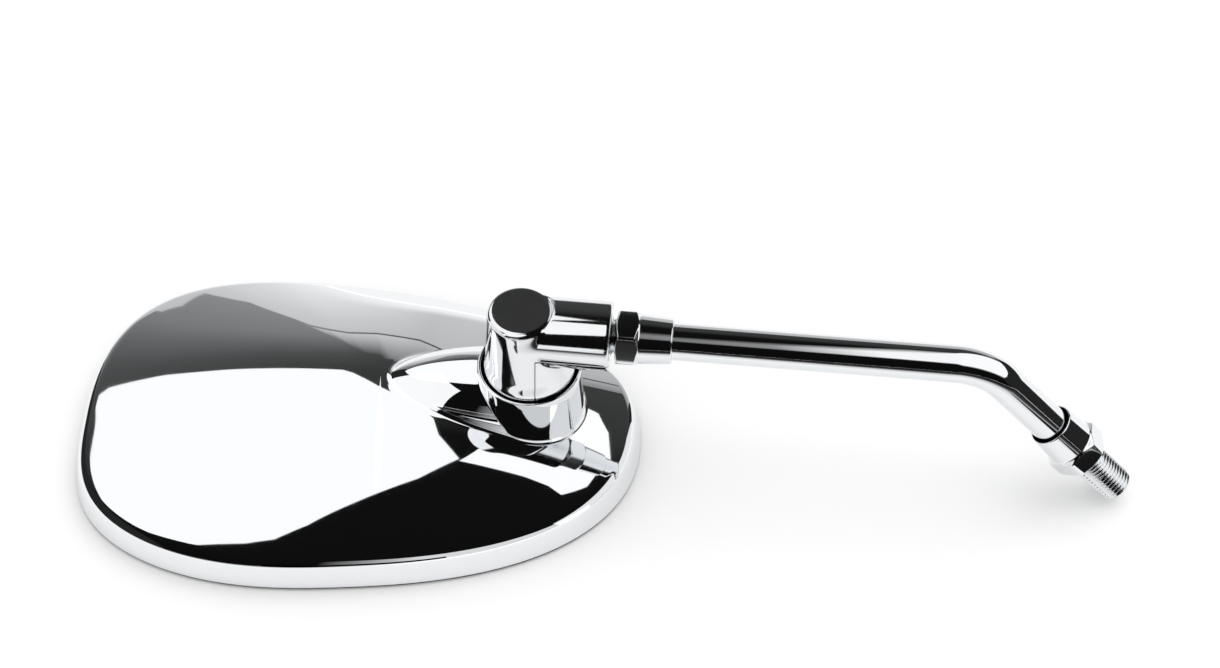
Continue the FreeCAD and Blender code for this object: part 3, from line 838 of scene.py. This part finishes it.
def silvered_glass():
    """Clear sheet over a silver layer, seen as one bright metal surface under a clear coat. The silver is a
    touch green-grey from the glass in front of it, and the sheet has a long faint wave."""
    made, tree = empty_material("silvered convex glass")
    place = add(tree, "TexCoord")
    wave = add(tree, "TexNoise", {
        "Vector": (place, "Object"), "Scale": 1 / (SHEET_WAVE_MM * MM), "Detail": 1.0})
    bump = add(tree, "Bump", {
        "Height": (wave, "Fac"), "Strength": 1.0, "Distance": SHEET_WAVE_LIFT * MM})
    sheet = add(tree, "BsdfPrincipled", {
        "Base Color": linear(SILVER), "Metallic": 1.0, "Roughness": 0.02, "Coat Weight": 1.0,
        "Coat Roughness": 0.01, "Normal": (bump, "Normal")})
    add(tree, "OutputMaterial", {"Surface": (sheet, "BSDF")})
    return made


# ======== studio ========

CAMERA_TARGET = np.array([3.275, 36.687, 0.0])
CAMERA_DISTANCE = 617.0
CAMERA_DOWN = math.radians(51)
LENS = 61.97
SENSOR = 36.0
SUN_STRENGTH = 0.7
SUN_SPREAD = math.radians(50)
SUN_TURN = (math.radians(-14), math.radians(14), 0)
WORLD_LEVEL = 0.88
FLOOR_HALF = 6000.0
CHROME_HEAD = ("chrome_housing",)
CASTING = ("elbow_casting",)
ROD_PIECES = ("bent_rod", "upper_lock_nut_plated", "lower_lock_nut_plated")


def make_camera():
    """Camera in front of the target, looking down at it, with its picture level."""
    data = bpy.data.cameras.new("camera")
    data.lens = LENS
    data.sensor_width = SENSOR
    camera = bpy.data.objects.new("camera", data)
    back = np.array([0, -math.cos(CAMERA_DOWN), math.sin(CAMERA_DOWN)])
    camera.location = (CAMERA_TARGET + CAMERA_DISTANCE * back) * MM
    camera.rotation_euler = (math.pi / 2 - CAMERA_DOWN, 0, 0)
    bpy.context.scene.collection.objects.link(camera)
    bpy.context.scene.camera = camera
    bpy.context.scene.view_settings.view_transform = "Standard"


def make_lamp():
    """Large soft lamp, high on the right and behind."""
    data = bpy.data.lights.new("soft_lamp", "SUN")
    data.energy = SUN_STRENGTH
    data.angle = SUN_SPREAD
    lamp = bpy.data.objects.new("soft_lamp", data)
    lamp.rotation_euler = SUN_TURN
    lamp.visible_glossy = False
    bpy.context.scene.collection.objects.link(lamp)


def make_world():
    """Plain level for the object, white where the camera, a mirror or glass looks into it."""
    world = bpy.data.worlds.new("studio")
    bpy.context.scene.world = world
    world.use_nodes = True
    tree = world.node_tree
    tree.nodes.clear()
    ray = add(tree, "LightPath")
    seen = add(tree, "Math", {
        0: (ray, "Is Camera Ray"), 1: (ray, "Is Glossy Ray")}, operation="MAXIMUM")
    seen = add(tree, "Math", {
        0: (seen, "Value"), 1: (ray, "Is Transmission Ray")}, operation="MAXIMUM")
    level = add(tree, "MapRange", {
        "Value": (seen, "Value"), "To Min": WORLD_LEVEL, "To Max": 1.0})
    sky = add(tree, "Background", {"Color": linear("ffffff"), "Strength": (level, "Result")})
    add(tree, "OutputWorld", {"Surface": (sky, "Background")})


def stage_object(name, points, faces, material):
    """Thing of the studio, which is not part of the mirror. Points are in millimetres."""
    mesh = bpy.data.meshes.new(name)
    mesh.from_pydata((points * MM).tolist(), [], faces)
    mesh.materials.append(material)
    obj = bpy.data.objects.new(name, mesh)
    bpy.context.scene.collection.objects.link(obj)
    return obj


def only_in_reflections(obj):
    """A card that shows in the chrome and does nothing else to the picture."""
    obj.visible_camera = False
    obj.visible_diffuse = False
    obj.visible_shadow = False
    obj.visible_transmission = False
    obj.visible_volume_scatter = False


def glow(name, clear):
    """Emission whose grey is kept at the corners, so that a card can fade from one side to the other. A
    clear card adds its light to what is behind it."""
    made, tree = empty_material(name)
    level = add(tree, "Attribute", attribute_name="grey")
    lit = (add(tree, "Emission", {"Color": (level, "Color")}), "Emission")
    if clear:
        behind = add(tree, "BsdfTransparent")
        lit = (add(tree, "AddShader", {0: lit, 1: (behind, "BSDF")}), "Shader")
    add(tree, "OutputMaterial", {"Surface": lit})
    return made


def card(name, points, faces, greys, seen_in=()):
    """Card of one or more faces with a grey at each point. With seen_in, only those pieces mirror it, and
    the others mirror what is behind it."""
    obj = stage_object(name, np.array(points, float), faces, glow(name, bool(seen_in)))
    layer = obj.data.attributes.new("grey", "FLOAT_COLOR", "POINT")
    colours = np.ones((len(points), 4))
    colours[:, :3] = np.array(greys, float)[:, None]
    layer.data.foreach_set("color", colours.reshape(-1))
    only_in_reflections(obj)
    if seen_in:
        group = bpy.data.collections.new(name + "_pieces")
        for other in seen_in:
            group.objects.link(bpy.data.objects[other])
        obj.light_linking.receiver_collection = group


def plain_card(name, points, grey, seen_in=()):
    """Card of one face and one grey."""
    card(name, points, [list(range(len(points)))], [grey] * len(points), seen_in)


def strip_card(name, rows, greys, seen_in=()):
    """Card through rows of points, with a grey for each row or for each point."""
    count = len(rows[0])
    i, j = np.meshgrid(np.arange(len(rows) - 1) * count, np.arange(count - 1), indexing="ij")
    corner = (i + j).reshape(-1)
    faces = np.stack([corner, corner + 1, corner + count + 1, corner + count], axis=1).tolist()
    shades = np.array(greys, float)
    if shades.ndim == 1:
        shades = np.repeat(shades, count)
    card(name, [point for row in rows for point in row], faces, shades.reshape(-1), seen_in)


def front_wall(name, y, columns, greys, seen_in):
    """Upright card that faces the front, through (x, lowest z, highest z) columns."""
    strip_card(name, [[[x, y, z] for z in (low, high)] for x, low, high in columns], greys, seen_in)


def side_wall(name, x, from_y, to_y, low, high, grey, seen_in):
    """Upright card that faces the side, with one grey."""
    strip_card(name, [[[x, y, z] for z in (low, high)] for y in (from_y, to_y)], [grey, grey], seen_in)


def make_floor():
    """White table top that keeps the object's shadow."""
    made, tree = empty_material("white table")
    paint = add(tree, "BsdfPrincipled", {
        "Base Color": linear("fdfdfd"), "Roughness": 0.9, "Specular IOR Level": 0.0})
    add(tree, "OutputMaterial", {"Surface": (paint, "BSDF")})
    corners = np.array([[-1, -1, 0], [1, -1, 0], [1, 1, 0], [-1, 1, 0]]) * FLOOR_HALF
    stage_object("floor", corners, [[0, 1, 2, 3]], made)


# ---- places and greys of the cards, where a grey of 1 renders white ----
BRIGHT = 1.15

# Tent: degrees over the table from its front edge, and the grey there, on the left and on the right. The
# greys change between the two x.
TENT_RADIUS = 3000.0
TENT_CHANGE = (-500, 0)
TENT_LEFT = [
    (0, 0.004), (110, 0.006), (122, 0.03), (137, 0.045), (143, 0.07), (146, 0.085), (151, 0.155),
    (155, 0.225), (165, 0.29), (180, 0.5)]
TENT_RIGHT = [(0, 0.004), (110, 0.006), (122, 0.035), (137, 0.05), (174, 0.06), (177, 0.4), (180, 0.5)]
TENT_END_GREY = 0.02
# Bright sheet over the head, corner by corner.
SOFTBOX_Z = 200
SOFTBOX = [
    (-390, 250), (-375, 257), (-300, 253), (-220, 235), (-110, 202), (-100, 190), (-75, 147), (-36, 92),
    (-29, 78), (-25, 50), (-10, 15), (-40, -20), (-75, -48), (-110, -78), (-130, -88), (-150, -85),
    (-190, -70), (-250, -35), (-290, 20), (-330, 100), (-365, 175), (-392, 235)]
# Bright upright sheet over the cup, x and z of its corners. It stands a little askew.
CUP_CARD_Y = -2.5
CUP_CARD_SKEW = -0.1
CUP_CARD = [
    (-20, 78), (-20, 134), (0, 138), (20, 141), (40, 156), (64, 196), (50, 140), (40, 100), (27, 64),
    (14, 67), (10, 76)]
# Bright sheet to the right of the softbox, corner by corner.
CUP_SIDE_Z = SOFTBOX_Z + 3
CUP_SIDE_CARD = [(80, 92), (118, 72), (125, 130), (120, 165), (105, 168)]
# Sheet over the rod: x, then y where it fades in, of its bright middle from and to, and where it fades out,
# and the grey of the middle. The fade is to one grey in front and to another at the back.
ROD_CARD_Z = SOFTBOX_Z + 1
ROD_FADE = (0.02, 0.04)
ROD_ROWS = [
    (-20, -120, -100, -75, -50, 0.08), (0, -135, -105, -75, -45, 0.2), (40, -135, -110, -60, -20, 0.3),
    (60, -135, -110, -45, 0, 0.7), (80, -135, -115, -25, 25, 1.1), (100, -150, -125, 10, 60, 1.1),
    (120, -190, -150, 60, 70, 1.15), (450, -300, -230, 200, 260, 1.15)]
# Upright cards that face the front: y, columns of x, lowest z and highest z, a grey for each column, and the
# pieces that mirror them. Three are for the casting's barrel, for its foot and for the front of the cup, and
# the flag is a black strip in front of the fairing.
FRONT_CARDS = [
    ("barrel_card", -60, [(-95, 95, 900), (-30, 100, 900), (4, 128, 900)], [BRIGHT] * 3, CASTING),
    ("low_card", -300, [(-200, 1, 75), (-46, 1, 75)], [1.0, 1.0], CASTING),
    ("cup_front_card", -100, [(-80, 0.7, 50), (-40, 0.7, 50), (150, 0.7, 50)], [0.0, 0.8, 0.8], CHROME_HEAD),
    ("fairing_flag", -72, [(-95, 8, 14), (-35, 8, 14)], [0.0, 0.0], ())]
# Upright cards that face the side: x, y from and to, lowest z and highest z, grey, and the pieces that
# mirror them. They are for the fairing, for the casting, rod and nuts, and for the right of the head.
SIDE_CARDS = [
    ("fairing_card", -60, -30, 4, 21.5, 52, 1.1, CHROME_HEAD),
    ("left_card", -700, -700, 200, 2, 600, 0.9, CASTING + ROD_PIECES),
    ("right_card", 700, -700, 500, 2, 600, 0.9, CHROME_HEAD)]
# Pale back of the studio: x, height of the line across it, its top, and the greys at the table, under the
# line and over the line. It fades to nothing at the top.
BACK_Y = 2400
BACK_LINE = 45
BACK_COLUMNS = [
    (-2100, 1100, 1145, 0.06, 0.05, 0.0), (-1600, 1060, 1105, 0.28, 0.25, 0.0),
    (-1250, 1000, 1045, 0.42, 0.38, 0.0), (-1080, 880, 925, 0.40, 0.36, 0.0),
    (-856, 650, 695, 0.40, 0.36, 0.0), (-700, 630, 675, 0.40, 0.36, 0.0),
    (-590, 790, 835, 0.42, 0.38, 0.1), (-548, 890, 960, 0.43, 0.38, 0.3),
    (-480, 950, 1180, 0.45, 0.38, 0.4), (-400, 1000, 1480, 0.50, 0.40, 0.42),
    (-350, 990, 1620, 0.52, 0.42, 0.44), (-265, 980, 1680, 0.54, 0.44, 0.5),
    (-150, 1040, 2200, 0.57, 0.48, 0.54), (-40, 1100, 2200, 0.58, 0.50, 0.52),
    (142, 1400, 2200, 0.60, 0.52, 0.5), (1000, 1450, 2200, 0.60, 0.45, 0.4),
    (2400, 1450, 2200, 0.50, 0.30, 0.3)]
# The table top as the chrome shows it: y and grey from the dark front to the white middle.
TABLE_CARD_Z = 0.6
TABLE_CARD_X = (-2500, 2500)
TABLE_ROWS = [(-2900, 0.004), (-500, 0.015), (-300, 0.03), (-200, 0.07), (-140, 0.68), (-90, 1.0)]
# Dark patch on it, in front of the lower nut.
TABLE_FLAG_Z = 0.8
TABLE_FLAG_X = (165, 900)
TABLE_FLAG_Y = (-150, -40)
TABLE_FLAG_GREY = 0.01


def make_tent():
    """Dark tent over the table, a half cylinder that shows only in the chrome. It is black in front and dark
    overhead and pales towards the back, on the left sooner than on the right."""
    over = np.radians(np.linspace(0.4, 179.6, 120))
    left, right = [np.interp(np.degrees(over), *zip(*side)) for side in (TENT_LEFT, TENT_RIGHT)]
    arch = [(-TENT_RADIUS * math.cos(a), TENT_RADIUS * math.sin(a)) for a in over]
    rings = [[[x, y, z] for x in (-TENT_RADIUS, *TENT_CHANGE, TENT_RADIUS)] for y, z in arch]
    strip_card("tent", rings, np.stack([left, left, right, right], axis=1))
    for name, x in (("tent_left_end", -TENT_RADIUS), ("tent_right_end", TENT_RADIUS)):
        plain_card(name, [[x, y, z] for y, z in arch], TENT_END_GREY)


def make_back():
    """Pale back wall in two parts with a thin dark line left between them."""
    lower = [(x, 1, line) for x, line, _, _, _, _ in BACK_COLUMNS]
    greys = [[table, under] for _, _, _, table, under, _ in BACK_COLUMNS]
    front_wall("back_card", BACK_Y, lower, greys, CHROME_HEAD + ROD_PIECES)
    upper = [(x, line + BACK_LINE, top) for x, line, top, _, _, _ in BACK_COLUMNS]
    greys = [[over, 0.0] for _, _, _, _, _, over in BACK_COLUMNS]
    front_wall("upper_back_card", BACK_Y, upper, greys, CHROME_HEAD)


def make_sheets():
    """Cards that hang over the mirror: one for the head, one for the rod and two for the cup."""
    plain_card("softbox", [[x, y, SOFTBOX_Z] for x, y in SOFTBOX], BRIGHT)
    rows = [[[row[0], y, ROD_CARD_Z] for y in row[1:5]] for row in ROD_ROWS]
    greys = [[ROD_FADE[0], row[5], row[5], ROD_FADE[1]] for row in ROD_ROWS]
    strip_card("rod_card", rows, greys, ROD_PIECES)
    upright = [[x, CUP_CARD_Y + CUP_CARD_SKEW * x, z] for x, z in CUP_CARD]
    plain_card("cup_card", upright, BRIGHT, CHROME_HEAD)
    plain_card("cup_side_card", [[x, y, CUP_SIDE_Z] for x, y in CUP_SIDE_CARD], BRIGHT, CHROME_HEAD)


def make_table_cards():
    """Table top as the chrome shows it, dark in front, with a darker patch."""
    rows = [[[x, y, TABLE_CARD_Z] for x in TABLE_CARD_X] for y, _ in TABLE_ROWS]
    strip_card("dark_table", rows, [grey for _, grey in TABLE_ROWS])
    rows = [[[x, y, TABLE_FLAG_Z] for x in TABLE_FLAG_X] for y in TABLE_FLAG_Y]
    strip_card("table_flag", rows, [TABLE_FLAG_GREY, TABLE_FLAG_GREY])


def make_studio():
    """Camera, light, table and the cards that the chrome mirrors."""
    make_camera()
    make_lamp()
    make_world()
    make_floor()
    make_tent()
    make_sheets()
    for front in FRONT_CARDS:
        front_wall(*front)
    for side in SIDE_CARDS:
        side_wall(*side)
    make_back()
    make_table_cards()


# ======== the part ========

def finish_parts(material, *names):
    """Gives the CAD nodes that are shown as they are their finish."""
    for name in names:
        mesh = frame["nodes"][name].data
        mesh.materials.clear()
        mesh.materials.append(material)


def make_part():
    """Every piece of the mirror, each in its own finish."""
    # Bright plate on pressed steel: nearly flat, so edges in the reflections stay crisp.
    bright = chrome_plate("bright chrome plate on steel", "eceef0", 0.03, 40.0, 0.012)
    # Plate on the rod and nuts: drawn and turned metal, a little less even.
    turned = chrome_plate("chrome plate on turned steel", "eaecee", 0.045, 12.0, 0.004)
    # Plate on the casting: the skin under it is softer, so reflections swim slightly.
    # Its parting line carries painted shade.
    cast = chrome_plate("chrome plate on a zinc casting", "e6e8ea", 0.07, 6.0, 0.010, cast=True)
    # Soft rubber edge: dull, with a fine dusty grain.
    rubber = plain_finish("black moulded rubber", "161617", "222223", 0.62, 0.0, 0.8, 0.010, 0.08)
    # Foam pad: open grain, almost no shine.
    foam = plain_finish("grey closed cell foam", "3d3d40", "55555a", 0.9, 0.0, 0.7, 0.060, 0.06)
    # Plate behind the glass: hard plastic with a spark-eroded grain.
    plastic = plain_finish("black moulded plastic", "232325", "2c2c2e", 0.5, 0.0, 0.5, 0.008, 0.1)
    # Ring that carries the ball: waxy, slightly yellow.
    nylon = plain_finish("natural nylon", "e4dfcd", "ece8d9", 0.42, 0.0, 3.0, 0.010, 0.08)
    # Small screws: thin plate that shows cloudy patches.
    zinc = plain_finish("zinc plated screws", "c6c5bf", "b3b4b2", 0.3, 1.0, 2.0, 0.006, 0.12)
    # Pivot parts: stamped and turned, duller than the screws.
    pivot = plain_finish("zinc plated steel", "b9b8b4", "a3a4a2", 0.36, 1.0, 2.5, 0.008, 0.12)
    make_shell(bright)
    make_glass(silvered_glass())
    make_gasket(rubber)
    make_elbow(cast)
    make_rod(turned)
    corner = np.cos(UPPER_NUT_TURN) * -ACROSS + np.sin(UPPER_NUT_TURN) * UP
    foot = STEM_START + STEM_AXIS * NUT_FROM_ELBOW
    make_nut("upper_lock_nut_plated", "upper_lock_nut", "upper_nut", foot, STEM_AXIS, corner, turned)
    foot = STEM_START + STEM_AXIS * BEND_REACH + END_AXIS * (END_REACH - NUT_FROM_TIP)
    make_nut("lower_lock_nut_plated", "lower_lock_nut", "lower_nut", foot, -END_AXIS, BEND_ACROSS, turned)
    finish_parts(foam, "foam_pad")
    finish_parts(plastic, "backing_plate")
    finish_parts(nylon, "seat_ring")
    finish_parts(zinc, *["plate_screw_%d" % k for k in range(1, 6)])
    finish_parts(pivot, "pivot_washer", "pivot_spring", "spring_cap", "pivot_nut", "pivot_bolt")


make_part()
make_studio()
